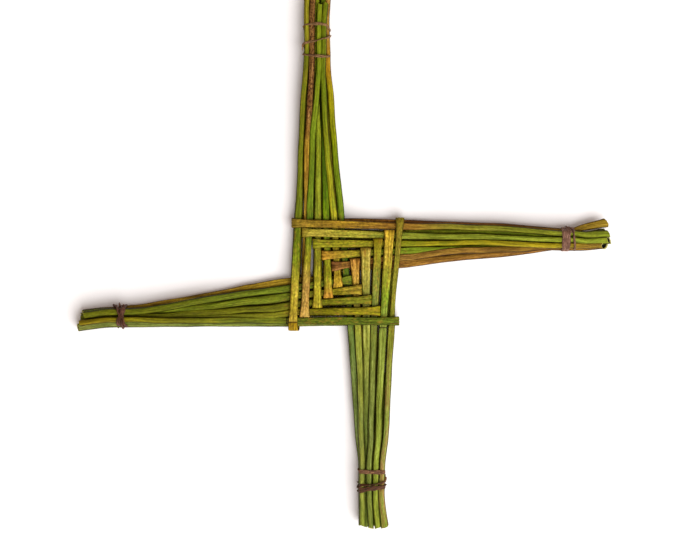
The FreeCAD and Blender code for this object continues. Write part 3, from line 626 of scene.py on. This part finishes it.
def buildRush(node, spine, material, hollow, seed):
    looks, shape = rushLooks[node], rushShape
    rng = np.random.default_rng(seed)
    straight = node == "centre_rush"
    at, along, path, isBack, wide, out = [spine[key] for key in ("at", "along", "path", "isBack", "wide", "out")]
    count, around = len(at), shape["pointsAround"]

    # half width and half height of the stem at each section
    flat = np.clip(1 - spine["halfHeight"] / spine["halfWidth"], 0, 1)
    roundness = 1 - easeBetween(*shape["pressed"], flat)
    swell = 1 + (shape["swell"] - 1) * roundness
    frontWidth, backWidth = [valueAlong(looks.get(key, shape[key]), along) for key in ("frontWidth", "backWidth")]
    widened = frontWidth * (1 - isBack) + backWidth * isBack
    halfWidth = blurAlong(at, spine["halfWidth"] * swell * widened, shape["widthBlur"])
    halfWidth *= 1 + wander(path, rng, shape["widthWaves"])
    halfHeight = spine["halfHeight"] * swell * (1 + wander(path, rng, shape["heightWaves"]) * roundness)
    if "crease" in looks:
        creased = np.exp(-((along - looks["crease"]) / shape["creaseLength"]) ** 2) * (1 - isBack)
        halfHeight *= 1 - shape["creaseHeight"] * creased
        halfWidth *= 1 - shape["creaseWidth"] * creased
    drift = wander(path, rng, shape["driftWaves"]) * easeBetween(*shape["driftFrom"], np.abs(along))

    # outline of each section, squarer where it is pressed flat
    alpha = np.arange(around) / around * 2 * math.pi
    c, s = np.cos(alpha)[None, :], np.sin(alpha)[None, :]
    roundPower, flatPower, late = shape["outline"]
    power = (roundPower + flatPower * flat ** late)[:, None]
    w, h = halfWidth[:, None], halfHeight[:, None]
    reach = (np.abs(c) ** power + np.abs(s) ** power) ** (-1 / power)
    x, y = w * c * reach, h * s * reach

    # ribs: narrow grooves that run along the stem, deepest where it is pressed flat
    phase = wander(path, rng, shape["ridgeWaves"])[:, None]
    ribs = shape["ridges"] / 2 * (alpha[None, :] + phase * shape["ridgeTwist"] + rng.uniform(0, 6))
    groove = (1 - np.abs(np.sin(ribs))) ** shape["ridgeSharp"]
    even = shape["ridgeEven"]
    strength = even + (1 - even) * np.sin(3 * alpha + rng.uniform(0, 6))[None, :] ** 2
    foldRidge = shape["foldRidgeDepth"] * looks.get("foldRidge", 1.0)
    depth = (shape["ridgeDepth"] + foldRidge * flat ** 2.2)[:, None] * strength
    if "split" in looks:  # the skin has split along two ribs where it is folded
        nearFold = np.exp(-(path / shape["splitLength"]) ** 2)[:, None]
        splits = sum(np.exp(-(np.mod(alpha - (1.5 * math.pi + turn), 2 * math.pi) / shape["splitWidth"]) ** 2)
                     for turn in shape["splitTurns"])
        depth = depth + shape["splitDepth"] * looks["split"] * nearFold * splits[None, :]
    lobes = shape["lobes"][0] * np.sin(3 * alpha[None, :] + phase * 3)
    lobes = lobes + shape["lobes"][1] * np.sin(5 * alpha[None, :] - phase * 4)
    normalX, normalY = c / w, s / h
    size = np.sqrt(normalX ** 2 + normalY ** 2)
    x = x * (1 + lobes * roundness[:, None]) - groove * depth * normalX / size
    y = y * (1 + lobes * roundness[:, None]) - groove * depth * normalY / size
    points = (spine["centre"][:, None, :] + x[:, :, None] * wide + y[:, :, None] * spine["through"][:, None, :]
              + drift[:, None, None] * wide)

    # the cuts: each end leans and is a little ragged
    ragged = [sum(high * np.sin(waves * alpha + rng.uniform(0, 6)) for high, waves in zip(shape["ragged"], (3, 7)))
              for _ in range(2)]
    for end in (0, 1):
        slantX, slantY = spine["slants"][end]
        slantY += looks.get("frontCut", 0.0) * np.sign(spine["through"][0][2]) if end == 0 else 0.0
        weight = 1 - easeBetween(0.0, shape["cutReach"], at if end == 0 else at[-1] - at)
        lean = x * slantX + y * slantY + ragged[end][None, :] * weight[:, None]
        points += (lean * weight[:, None])[:, :, None] * out

    # what the skin reads: distance on the ramp, half and side, and a place in the pattern
    onStem = onRamp(along, rampReach["straight" if straight else "folded"])
    tones = np.stack(np.broadcast_arrays(onStem[:, None], isBack[:, None], c), 2)
    places = np.stack(np.broadcast_arrays(shape["patternRadius"] * c, path[:, None], shape["patternRadius"] * s), 2)
    allPoints, allTones, allPlaces = [points.reshape(-1, 3)], [tones.reshape(-1, 3)], [places.reshape(-1, 3)]
    faces = []
    for i in range(count - 1):
        faces += bridge(i * around, (i + 1) * around, around)
    slots = [0] * len(faces)

    # the wall's lip and the hollow behind it, at each end
    start = count * around
    for end in (0, 1):
        index, order = (0, -1) if end == 0 else (count - 1, 1)
        ring, middle = points[index], points[index].mean(0)
        inward = points[4 if end == 0 else -5].mean(0) - middle
        inward /= np.linalg.norm(inward)
        toMiddle = middle - ring
        radius = np.linalg.norm(toMiddle, axis=1)[:, None]
        uneven = 1 + sum(high * np.sin(waves * alpha + rng.uniform(0, 6))[:, None]
                         for high, waves in zip(shape["wallWaves"], (2, 5)))
        rings = [shape["lip"]]
        rings += [(shape["wall"] * share * uneven, deep, shade) for share, deep, shade in shape["hollowRings"]]
        before = index * around
        for thick, deep, shade in rings:
            allPoints.append(ring + toMiddle * np.minimum(thick / radius, 0.9) + inward * deep)
            tone = tones[index].copy()
            tone[:, 2] = shade
            allTones.append(tone)
            allPlaces.append(places[index] * (1 - 0.3 * shade) + np.array([0, deep, 0]))
            faces += [face[::order] for face in bridge(before, start, around)]
            slots += [0 if deep < 0 else 1] * around
            before = start
            start += around
        allPoints.append((middle + inward * (deep + 0.2))[None, :])
        allTones.append(np.array([[tones[index, 0, 0], tones[index, 0, 1], 1.0]]))
        allPlaces.append(places[index].mean(0)[None, :])
        faces += [[before + i, before + (i + 1) % around, start][::order] for i in range(around)]
        slots += [1] * around
        start += 1
    piece = addMesh("rush_" + node.replace("_rush", ""), np.concatenate(allPoints), faces, slots,
                    {"stemPlace": np.concatenate(allPlaces), "stemTone": np.concatenate(allTones)},
                    [material, hollow])
    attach(piece, "root")
    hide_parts(node)


hollow = driedRushHollow()
spines = {}
for seed, node in enumerate(sorted(rushLooks)):
    arm = "up" if node == "centre_rush" else node.split("_")[0]
    spines[node] = spineOf(node, arm)
    reach = rampReach["straight" if node == "centre_rush" else "folded"]
    skin = driedRushSkin("driedRushSkin_" + node, rushLooks[node], reach, seed + 1)
    buildRush(node, spines[node], skin, hollow, seed + 11)
print("rushes built")


# ties

tieShape = {
    "pointsAround": 26, "step": 0.22, "ridges": 8, "ridgeDepth": 0.07,
    "gap": 0.06, "floorGap": 0.02,  # between a strand and the stems, and the surface that the cross lies on
    "turnStep": 2.5,  # degrees from point to point
    "stopReach": (-8, 8),  # degrees to each side of a stop, between which its place on the strand is taken
    "twistFrom": 0.35, "twistEase": 3,  # strands twist on the front and the sides, and lie flat on the back
    "tornEnd": 0.8, "tornWidth": 0.15,  # the last 0.8 mm of a strand tapers to this share of its width
    "outline": 0.8, "ridgeSharp": 1.3,
    "widthWaves": [(7, 0.10), (2.9, 0.07)], "thickWaves": [(5, 0.10), (2.1, 0.06)], "ridgeWaves": [(9, 1.0), (4, 0.4)],
}
# Each strand goes round the arm: [turn in degrees, distance along the arm, width, thickness, lift, twist in degrees].
# Turn 0 faces the arm's outer side, 90 faces up and 180 its inner side.
tieStrands = {
    "up": [
        [[-80, 110.5, 1.1, 0.4, 0, 0], [0, 109.6, 1.34, 0.45, -0.55, 20], [40, 108.9, 1.46, 0.45, 0.05, 60],
         [90, 108.2, 1.52, 0.45, 0.05, 20], [140, 107.8, 1.34, 0.45, 0.05, -50], [180, 108.6, 1.1, 0.42, -0.25, 10],
         [270, 111, 1.22, 0.4, 0, 0], [350, 112.6, 1.22, 0.42, -0.5, 20], [370, 113.6, 1.34, 0.45, -0.5, 60],
         [410, 114.4, 1.34, 0.5, -0.2, 150], [450, 115.6, 1.4, 0.5, -0.1, 230], [500, 117.2, 1.34, 0.5, 0.05, 300],
         [540, 118.4, 1.46, 0.45, -0.3, 360], [630, 120.8, 1.22, 0.4, 0, 360], [705, 121.8, 1.22, 0.42, -0.5, 380],
         [740, 123.2, 1.46, 0.45, -0.5, 420], [810, 124.4, 1.52, 0.45, 0.05, 380],
         [860, 123.4, 1.34, 0.45, -0.15, 330], [900, 121.4, 1.34, 0.42, -0.25, 360],
         [970, 121.2, 0.98, 0.35, 0, 360]],
        [[-10, 112.2, 0.61, 0.35, 0.1, 0], [0, 111.2, 0.73, 0.4, 0.2, 40], [20, 113.2, 0.73, 0.4, 0.45, 90],
         [45, 114.3, 0.73, 0.4, 0.55, 160]]],
    "right": [
        [[-70, 108.9, 2, 0.35, 0, 0], [0, 108.6, 2.3, 0.42, 0, 0], [90, 108.9, 2.4, 0.42, 0.05, 0],
         [180, 108.5, 2.1, 0.42, -0.2, 0], [270, 110.2, 1.9, 0.38, 0, 0], [360, 110.9, 2.3, 0.42, 0.05, 0],
         [405, 110.8, 2.4, 0.42, 0.25, 0], [450, 110.7, 2.3, 0.42, 0.2, 0], [540, 110.3, 1.9, 0.42, -0.2, 0],
         [630, 111, 1.4, 0.38, 0, 0], [720, 111.6, 1.1, 0.45, 0.1, 30], [765, 113, 1, 0.5, 0.1, 120],
         [810, 114, 1.05, 0.5, 0.05, 200], [860, 114, 1, 0.5, -0.1, 160], [900, 114.2, 1, 0.42, -0.6, 180],
         [975, 114.6, 0.8, 0.35, 0, 180]],
        [[-30, 112.4, 0.8, 0.38, 0, 0], [0, 113, 1.3, 0.42, 0.05, 0], [40, 113.6, 1.2, 0.42, 0.05, 30],
         [70, 113.9, 0.9, 0.38, 0.1, 60]],
        [[350, 109.2, 0.6, 0.4, 0.5, 0], [375, 110.4, 0.8, 0.45, 0.6, 60], [405, 111.8, 0.7, 0.45, 0.45, 120],
         [440, 112.7, 0.6, 0.4, 0.2, 160]]],
    "down": [
        [[-80, 99.8, 1.6, 0.38, 0, 0], [0, 99.2, 1.9, 0.42, -0.15, 0], [60, 99.2, 2, 0.42, 0.05, 0],
         [130, 98.9, 1.9, 0.42, 0.05, 10], [160, 98.1, 1.2, 0.45, 0.05, 50], [180, 97.6, 0.9, 0.42, -0.55, 20],
         [270, 101, 1.4, 0.38, 0, 0], [345, 101.6, 1.4, 0.45, -0.3, 40], [365, 102.4, 1.5, 0.5, -0.35, 90],
         [400, 103.9, 1.3, 0.55, -0.1, 170], [440, 104.9, 1.4, 0.55, 0.2, 250], [480, 105.6, 1.5, 0.5, -0.1, 330],
         [520, 105, 1.8, 0.45, -0.6, 360], [540, 104.4, 1.9, 0.42, -0.7, 360], [630, 105.2, 1.6, 0.38, 0, 360],
         [720, 105.9, 2, 0.42, -0.5, 360], [770, 106.6, 2.2, 0.45, 0, 370], [820, 107.5, 2.3, 0.45, 0.1, 350],
         [870, 108.6, 2.4, 0.45, -0.3, 365], [900, 108.9, 2.2, 0.42, -0.7, 360], [980, 107.6, 1.2, 0.35, 0, 360]],
        [[95, 106.2, 0.7, 0.4, 0.35, 0], [130, 107.1, 1, 0.45, 0.4, 60], [165, 106.9, 1.3, 0.42, 0.2, 100],
         [180, 106.4, 1.6, 0.42, -0.5, 90], [215, 106.2, 0.9, 0.35, 0, 90]]],
    "left": [
        [[-80, 111, 1.8, 0.38, 0, 0], [0, 111.4, 2.2, 0.42, -0.15, 0], [90, 111.9, 2.3, 0.45, 0.05, 20],
         [180, 112.3, 2.1, 0.42, 0, 0], [270, 111, 1.6, 0.38, 0, 0], [360, 109.6, 1.7, 0.42, -0.1, 0],
         [420, 110.7, 2.1, 0.55, 0.35, 40], [480, 113.6, 2.1, 0.55, 0.35, 120], [540, 116, 1.8, 0.42, 0, 180],
         [630, 113.4, 1.5, 0.38, 0, 180], [720, 113.6, 1.7, 0.42, -0.5, 180], [780, 113.4, 2.1, 0.5, 0.55, 210],
         [840, 110.9, 2.1, 0.5, 0.5, 170], [900, 110.4, 1.7, 0.42, 0.1, 180], [990, 112, 1.5, 0.38, 0, 180],
         [1080, 111.4, 1.5, 0.42, 0.2, 180], [1130, 111.6, 1.2, 0.5, 0.7, 250], [1190, 113.6, 1.2, 0.45, 0.6, 330],
         [1255, 114.6, 0.9, 0.4, 0.1, 360]]],
}
# free stubs of bast: [distance along, across, height, width, thickness]
tieStubs = {
    "down": [
        [[101.6, 18.9, 5.6, 1, 0.5], [100.9, 19.4, 6, 1.2, 0.55], [100, 19.5, 6.2, 0.5, 0.35]]],
    "left": [
        [[111.2, 17.4, 6.6, 1.4, 0.5], [111, 16.3, 7.2, 1.1, 0.5], [110.8, 15.2, 7.4, 0.5, 0.3]],
        [[112.6, 17.2, 6.8, 1.4, 0.55], [112.9, 15.8, 7.4, 1.1, 0.5], [113.1, 14.5, 7.7, 0.4, 0.3]],
        [[114.6, 18.2, 6.6, 1.2, 0.5], [115.5, 17.2, 7, 1, 0.45], [116.2, 16.4, 7.2, 0.4, 0.3]],
        [[110.9, 26.4, 5, 1.3, 0.5], [111.1, 27.2, 5, 1, 0.45], [111.3, 27.9, 5, 0.4, 0.3]],
        [[109.4, 25.6, 5.4, 1, 0.45], [108.8, 26.1, 5.6, 0.8, 0.4], [108.4, 26.4, 5.7, 0.4, 0.3]]],
}

# shade of each tie: hollows between its fibres, fibres and their worn backs
tieLooks = {"up": ("#38220e", "#785630", "#a07e50"), "right": ("#38200f", "#75503c", "#9a7460"),
            "down": ("#260f04", "#66401f", "#9c724c"), "left": ("#180802", "#4c2812", "#7c5038")}
tieStain = {"down": (-101.0, -103.2)}  # from here out the bast is darker, as if it had been wetter
bastGrain = {"fibres": (0.22, 4.0), "blotches": (1.2, 2.6)}  # millimetres across and along the strand


def bastMaterial(arm):
    # Bast, the inner bark of a tree stripped wet and twisted: brown with pink and grey in it, dull and fibrous.
    material, tree = newShading(bpy.data.materials, "twistedBast_" + arm)
    place, grain = stemFields(tree)[0], {}
    for name, (across, along) in bastGrain.items():
        scaled = addNode(tree, "Mapping", {}, {"Vector": place, "Scale": (1 / across, 1 / along, 1 / across)})
        grain[name] = addNode(tree, "TexNoise", {}, {"Vector": scaled, "Scale": 1.0, "Detail": 3.0, "Roughness": 0.6})
    strand = addNode(tree, "ValToRGB", {}, {"Fac": grain["fibres"]}, list(zip((0.36, 0.5, 0.66), tieLooks[arm])))
    blotched = addNode(tree, "MapRange", {"clamp": True}, {
        "Value": grain["blotches"], "From Min": 0.4, "From Max": 0.6, "To Min": 0.0, "To Max": 0.55})
    strand = addNode(tree, "Mix", {"data_type": "RGBA"}, {
        0: blotched, 6: strand, 7: toLinear("#3e2010")}).outputs[2]
    if arm in tieStain:
        position = addNode(tree, "NewGeometry").outputs["Position"]
        height = addNode(tree, "SeparateXYZ", {}, {"Vector": position}).outputs["Y"]
        stained = addNode(tree, "MapRange", {"clamp": True}, {
            "Value": height, "From Min": tieStain[arm][0] * mm, "From Max": tieStain[arm][1] * mm,
            "To Min": 0.0, "To Max": 1.0})
        strand = addNode(tree, "Mix", {"data_type": "RGBA", "blend_type": "MULTIPLY"}, {
            0: stained, 6: strand, 7: (0.52, 0.40, 0.16, 1)}).outputs[2]  # shares of red, green and blue that stay
    finishPlantSkin(tree, strand, 0.68, grain["fibres"], 0.7, 0.3)
    return material


def stemsAt(arm, along):
    # side and height of each stem where an arm is crossed at a distance along it
    out, wide = armAxes[arm]
    found = []
    for node, spine in spines.items():
        if not (node.startswith(arm) or (node == "centre_rush" and arm in ("up", "down"))):
            continue
        distance = spine["centre"] @ out
        for i in range(len(distance) - 1):
            if (distance[i] - along) * (distance[i + 1] - along) <= 0 and distance[i] != distance[i + 1]:
                share = (along - distance[i]) / (distance[i + 1] - distance[i])
                point = spine["centre"][i] * (1 - share) + spine["centre"][i + 1] * share
                found.append((point @ wide, point[2], spine["halfWidth"][i] * rushShape["swell"]))
    return np.array(found)


def strandPath(arm, stops, stems):
    # points, outward facing directions and sizes of a strand pulled tight round the stems
    stops = np.array(stops, float)
    turns = np.arange(stops[0, 0], stops[-1, 0] + 0.1, tieShape["turnStep"])
    # between two stops the strand slants evenly over the length it covers, also on the flat of the arm
    faced = np.stack([np.cos(np.radians(turns)), np.sin(np.radians(turns))], 1)
    touched = stems[np.argmax(faced @ stems[:, :2].T + stems[:, 2], axis=1)]
    covered = lengthAlong(touched[:, :2] + faced * touched[:, 2:]) + turns * 1e-4  # so that it always rises
    marks = sum(np.interp(stops[:, 0] + turn, turns, covered) for turn in tieShape["stopReach"]) / 2
    marks[0], marks[-1] = covered[0], covered[-1]
    values = smoothThrough(marks, stops[:, 1:], covered)
    points, facings = [], []
    (out, wide), up = armAxes[arm], np.array([0, 0, 1.0])
    for turn, (along, width, thick, lift, twist) in zip(turns, values):
        angle = math.radians(turn)
        facing = np.array([math.cos(angle), math.sin(angle)])
        best = stems[np.argmax(stems[:, :2] @ facing + stems[:, 2])]
        tilt = math.radians(twist) * min(1.0, max(0.0, facing[1] + tieShape["twistFrom"]) * tieShape["twistEase"])
        stand = (abs(thick * math.cos(tilt)) + 0.6 * abs(width * math.sin(tilt))) / 2
        place = best[:2] + facing * (best[2] + tieShape["gap"] + lift + stand)
        points.append(out * along + wide * place[0] + up * max(place[1], thick / 2 + tieShape["floorGap"]))
        facings.append(wide * facing[0] + up * facing[1])
    return np.array(points), np.array(facings), values


def strandMesh(points, facings, values, rng, allPoints, allPlaces, faces):
    # a strip of bast along the points, with fibres along it
    shape, around = tieShape, tieShape["pointsAround"]
    reach = lengthAlong(points)
    at = np.arange(0, reach[-1], shape["step"])
    centre, facing, sizes = [np.stack([np.interp(at, reach, column) for column in rows.T], 1)
                             for rows in (points, facings, values)]
    for _ in range(3):  # a pulled strand has no sharp bends
        centre[1:-1] = (centre[:-2] + 2 * centre[1:-1] + centre[2:]) / 4
    centre[:, 2] = np.maximum(centre[:, 2], sizes[:, 2] / 2 + shape["floorGap"])
    tangent = np.gradient(centre, axis=0)
    tangent /= np.linalg.norm(tangent, axis=1)[:, None]
    facing -= tangent * (facing * tangent).sum(1)[:, None]
    facing /= np.linalg.norm(facing, axis=1)[:, None]
    side = np.cross(tangent, facing)
    tilt = np.radians(sizes[:, 4]) * np.clip((facing[:, 2] + shape["twistFrom"]) * shape["twistEase"], 0, 1)
    axisA = side * np.cos(tilt)[:, None] + facing * np.sin(tilt)[:, None]
    axisB = facing * np.cos(tilt)[:, None] - side * np.sin(tilt)[:, None]
    alpha = np.arange(around) / around * 2 * math.pi
    c, s = np.cos(alpha)[None, :], np.sin(alpha)[None, :]
    width = (sizes[:, 1] / 2 * (1 + wander(at, rng, shape["widthWaves"])))[:, None]
    thick = (sizes[:, 2] / 2 * (1 + wander(at, rng, shape["thickWaves"])))[:, None]
    ends = np.minimum(1, np.minimum(at, at[-1] - at) / shape["tornEnd"] + shape["tornWidth"])[:, None]
    ribs = shape["ridges"] / 2 * (alpha[None, :] + 0.5 * wander(at, rng, shape["ridgeWaves"])[:, None])
    groove = shape["ridgeDepth"] * (1 - np.abs(np.sin(ribs))) ** shape["ridgeSharp"]
    x = width * ends * np.sign(c) * np.abs(c) ** shape["outline"] - groove * c
    y = thick * ends * np.sign(s) * np.abs(s) ** shape["outline"] - groove * s * (sizes[:, 2] / 0.6)[:, None]
    ring = centre[:, None, :] + x[:, :, None] * axisA[:, None, :] + y[:, :, None] * axisB[:, None, :]
    ring[:, :, 2] = np.maximum(ring[:, :, 2], shape["floorGap"])
    places = np.stack(np.broadcast_arrays(width * c, at[:, None] + rng.uniform(0, 80), width * s), 2)
    start, count = sum(len(block) for block in allPoints), len(at)
    allPoints.append(ring.reshape(-1, 3))
    allPlaces.append(places.reshape(-1, 3))
    for i in range(count - 1):
        faces += bridge(start + i * around, start + (i + 1) * around, around)
    for end, order in ((0, -1), (count - 1, 1)):
        allPoints.append(ring[end].mean(0)[None, :])
        allPlaces.append(places[end].mean(0)[None, :])
        first, tip = start + end * around, start + count * around + (0 if end == 0 else 1)
        faces += [[first + i, first + (i + 1) % around, tip][::order] for i in range(around)]


for seed, arm in enumerate(sorted(tieStrands)):
    rng = np.random.default_rng(seed + 70)
    allPoints, allPlaces, faces = [], [], []
    stems = stemsAt(arm, np.mean([stop[1] for stop in tieStrands[arm][0]]))
    for stops in tieStrands[arm]:
        strandMesh(*strandPath(arm, stops, stems), rng, allPoints, allPlaces, faces)
    for stub in tieStubs.get(arm, []):
        along, across, height, width, thick = np.array(stub, float).T[:, :, None]
        points = along * armAxes[arm][0] + across * armAxes[arm][1] + height * np.array([0, 0, 1.0])
        values = np.hstack([along, width, thick, 0 * along, 0 * along])
        facings = np.tile([0.0, 0.3, 1.0], (len(stub), 1))  # a stub lies flat, turned a little to the top
        strandMesh(points, facings, values, rng, allPoints, allPlaces, faces)
    piece = addMesh("tie_" + arm, np.concatenate(allPoints), faces, [0] * len(faces),
                    {"stemPlace": np.concatenate(allPlaces)}, [bastMaterial(arm)])
    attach(piece, "root")
    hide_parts(arm + "_tie")
print("ties built")


# floor, light and camera

studio = {  # lengths in metres
    "floor": "#f9f8f8", "liftFrom": 0.3, "liftTo": 1.0, "world": "#fbeae2", "worldStrength": 0.52,
    "keyPlace": (0.90, -1.10, 1.60), "keySize": 2.20, "keyPower": 68.0, "keyColour": "#fdfeff",
    "cameraPlace": (-0.003, 0.0015, 1.0), "frameWidth": 0.340, "frameHeight": 0.005,  # width seen at this height
}


def buildFloor():
    # White paper sheet, smooth and matt; it looks white to the camera and still takes the shadow.
    material, tree = newShading(bpy.data.materials, "whitePaperSweep")
    rays = addNode(tree, "LightPath").outputs
    seen = rays["Is Camera Ray"]
    for kind in ("Is Glossy Ray", "Is Transmission Ray"):
        seen = addNode(tree, "Math", {"operation": "MAXIMUM"}, {0: seen, 1: rays[kind]})
    place = addNode(tree, "NewGeometry").outputs["Position"]
    away = addNode(tree, "VectorMath", {"operation": "LENGTH"}, {0: place}).outputs["Value"]
    far = addNode(tree, "MapRange", {"clamp": True}, {
        "Value": away, "From Min": studio["liftFrom"], "From Max": studio["liftTo"], "To Min": 0.0, "To Max": 0.9})
    lift = addNode(tree, "Math", {"operation": "MULTIPLY"}, {0: seen, 1: far})
    paper = addNode(tree, "BsdfDiffuse", {}, {"Color": toLinear(studio["floor"]), "Roughness": 0.0})
    glow = addNode(tree, "Emission", {}, {"Color": (1, 1, 1, 1), "Strength": lift})
    both = addNode(tree, "AddShader", {}, {0: paper, 1: glow})
    addNode(tree, "OutputMaterial", {}, {"Surface": both})
    mesh = bpy.data.meshes.new("floor")
    mesh.from_pydata([(-4, -4, 0), (4, -4, 0), (4, 4, 0), (-4, 4, 0)], [], [(0, 1, 2, 3)])
    mesh.materials.append(material)
    addObject("floor", mesh)


def buildLight():
    # a pale room and a wide soft window to the lower right of the cross
    world, tree = newShading(bpy.data.worlds, "paleRoom")
    rays = addNode(tree, "LightPath").outputs
    soft = addNode(tree, "Background", {}, {
        "Color": toLinear(studio["world"]), "Strength": studio["worldStrength"]})
    white = addNode(tree, "Background", {}, {"Color": (1, 1, 1, 1), "Strength": 1.0})
    seen = addNode(tree, "Math", {"operation": "MAXIMUM"}, {
        0: rays["Is Camera Ray"], 1: rays["Is Transmission Ray"]})
    both = addNode(tree, "MixShader", {}, {0: seen, 1: soft, 2: white})
    addNode(tree, "OutputWorld", {}, {"Surface": both})
    bpy.context.scene.world = world
    lamp = bpy.data.lights.new("windowLight", "AREA")
    lamp.shape, lamp.size, lamp.energy = "DISK", studio["keySize"], studio["keyPower"]
    lamp.color = toLinear(studio["keyColour"])[:3]
    key = addObject("windowLight", lamp)
    key.location = studio["keyPlace"]
    key.rotation_euler = (-Vector(studio["keyPlace"])).to_track_quat("-Z", "Y").to_euler()


def buildCamera():
    # looks straight down, as the photograph does
    camera = addObject("camera", bpy.data.cameras.new("camera"))
    camera.location = studio["cameraPlace"]
    camera.data.sensor_width = 36
    camera.data.lens = 36 * (studio["cameraPlace"][2] - studio["frameHeight"]) / studio["frameWidth"]
    camera.data.clip_start, camera.data.clip_end = 0.05, 20
    bpy.context.scene.camera = camera


buildFloor()
buildLight()
buildCamera()
bpy.context.scene.view_settings.view_transform = "Standard"
print("stage built")
